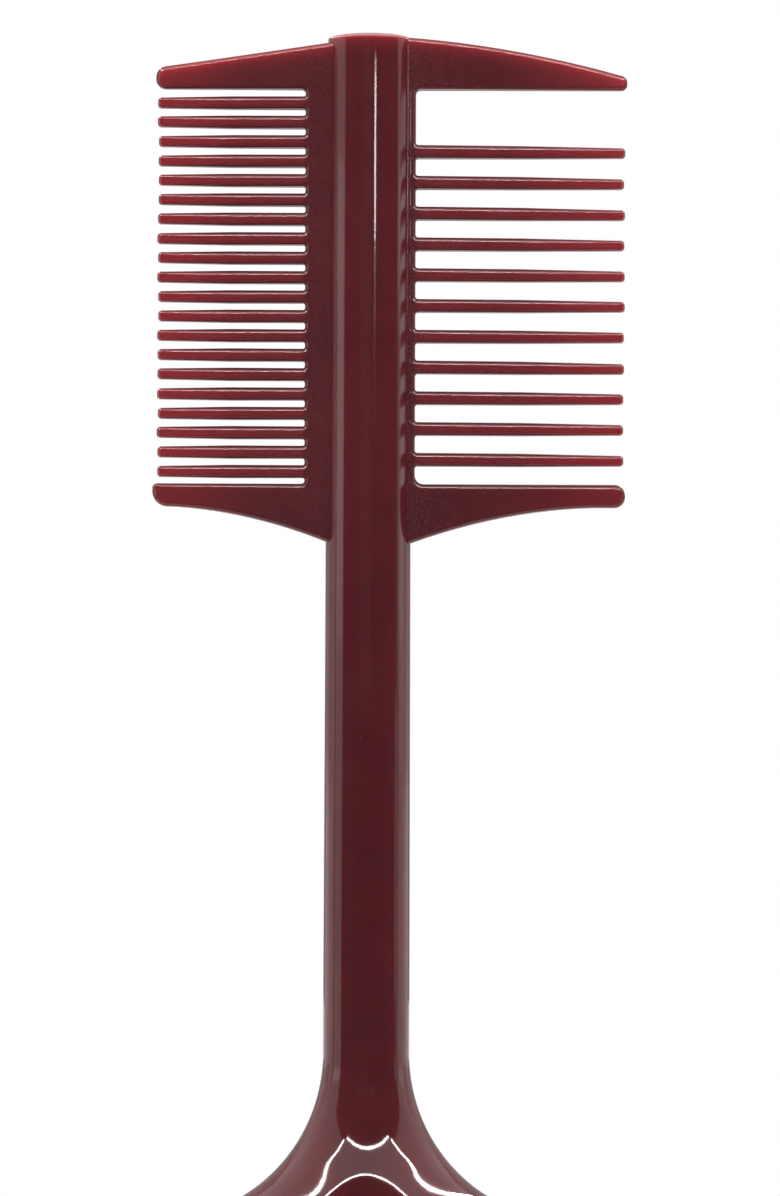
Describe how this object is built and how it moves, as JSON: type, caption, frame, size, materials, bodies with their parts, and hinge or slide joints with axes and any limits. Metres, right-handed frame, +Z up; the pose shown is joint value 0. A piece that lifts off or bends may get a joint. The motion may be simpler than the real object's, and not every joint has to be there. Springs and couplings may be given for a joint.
{
  "type": "tint brush",
  "caption": "Hair tint brush: round handle with a double-sided fine and wide comb at one end and a flared oval head of staggered bristle tufts at the other.",
  "frame": {"origin": "on the handle's axis, at the plane of the bristle tips", "axes": "+Z up the handle to the comb end, +X to the wide comb, -Y to the front; the combs and the long side of the head lie in XZ"},
  "size_m": [0.0592, 0.024, 0.1915],
  "materials": {
    "handle_plastic": "glossy burgundy",
    "bristle_nylon": "satin black",
    "anchor_wire": "drawn wire"
  },
  "bodies": {
    "root": {"handle_rod": "handle_plastic", "fine_comb_bar": "handle_plastic", "fine_comb_upper_guard": "handle_plastic", "fine_comb_lower_guard": "handle_plastic", "fine_comb_teeth": "handle_plastic", "wide_comb_bar": "handle_plastic", "wide_comb_upper_guard": "handle_plastic", "wide_comb_lower_guard": "handle_plastic", "wide_comb_teeth": "handle_plastic", "head_flare": "handle_plastic", "head_base": "handle_plastic", "tuft_anchors": "anchor_wire", "tuft_front_01": "bristle_nylon", "tuft_front_02": "bristle_nylon", "tuft_front_03": "bristle_nylon", "tuft_front_04": "bristle_nylon", "tuft_front_05": "bristle_nylon", "tuft_front_06": "bristle_nylon", "tuft_front_07": "bristle_nylon", "tuft_front_08": "bristle_nylon", "tuft_front_09": "bristle_nylon", "tuft_mid_front_01": "bristle_nylon", "tuft_mid_front_02": "bristle_nylon", "tuft_mid_front_03": "bristle_nylon", "tuft_mid_front_04": "bristle_nylon", "tuft_mid_front_05": "bristle_nylon", "tuft_mid_front_06": "bristle_nylon", "tuft_mid_front_07": "bristle_nylon", "tuft_mid_front_08": "bristle_nylon", "tuft_mid_front_09": "bristle_nylon", "tuft_mid_front_10": "bristle_nylon", "tuft_middle_01": "bristle_nylon", "tuft_middle_02": "bristle_nylon", "tuft_middle_03": "bristle_nylon", "tuft_middle_04": "bristle_nylon", "tuft_middle_05": "bristle_nylon", "tuft_middle_06": "bristle_nylon", "tuft_middle_07": "bristle_nylon", "tuft_middle_08": "bristle_nylon", "tuft_middle_09": "bristle_nylon", "tuft_mid_back_01": "bristle_nylon", "tuft_mid_back_02": "bristle_nylon", "tuft_mid_back_03": "bristle_nylon", "tuft_mid_back_04": "bristle_nylon", "tuft_mid_back_05": "bristle_nylon", "tuft_mid_back_06": "bristle_nylon", "tuft_mid_back_07": "bristle_nylon", "tuft_mid_back_08": "bristle_nylon", "tuft_mid_back_09": "bristle_nylon", "tuft_mid_back_10": "bristle_nylon", "tuft_back_01": "bristle_nylon", "tuft_back_02": "bristle_nylon", "tuft_back_03": "bristle_nylon", "tuft_back_04": "bristle_nylon", "tuft_back_05": "bristle_nylon", "tuft_back_06": "bristle_nylon", "tuft_back_07": "bristle_nylon", "tuft_back_08": "bristle_nylon", "tuft_back_09": "bristle_nylon"}
  },
  "joints": []
}
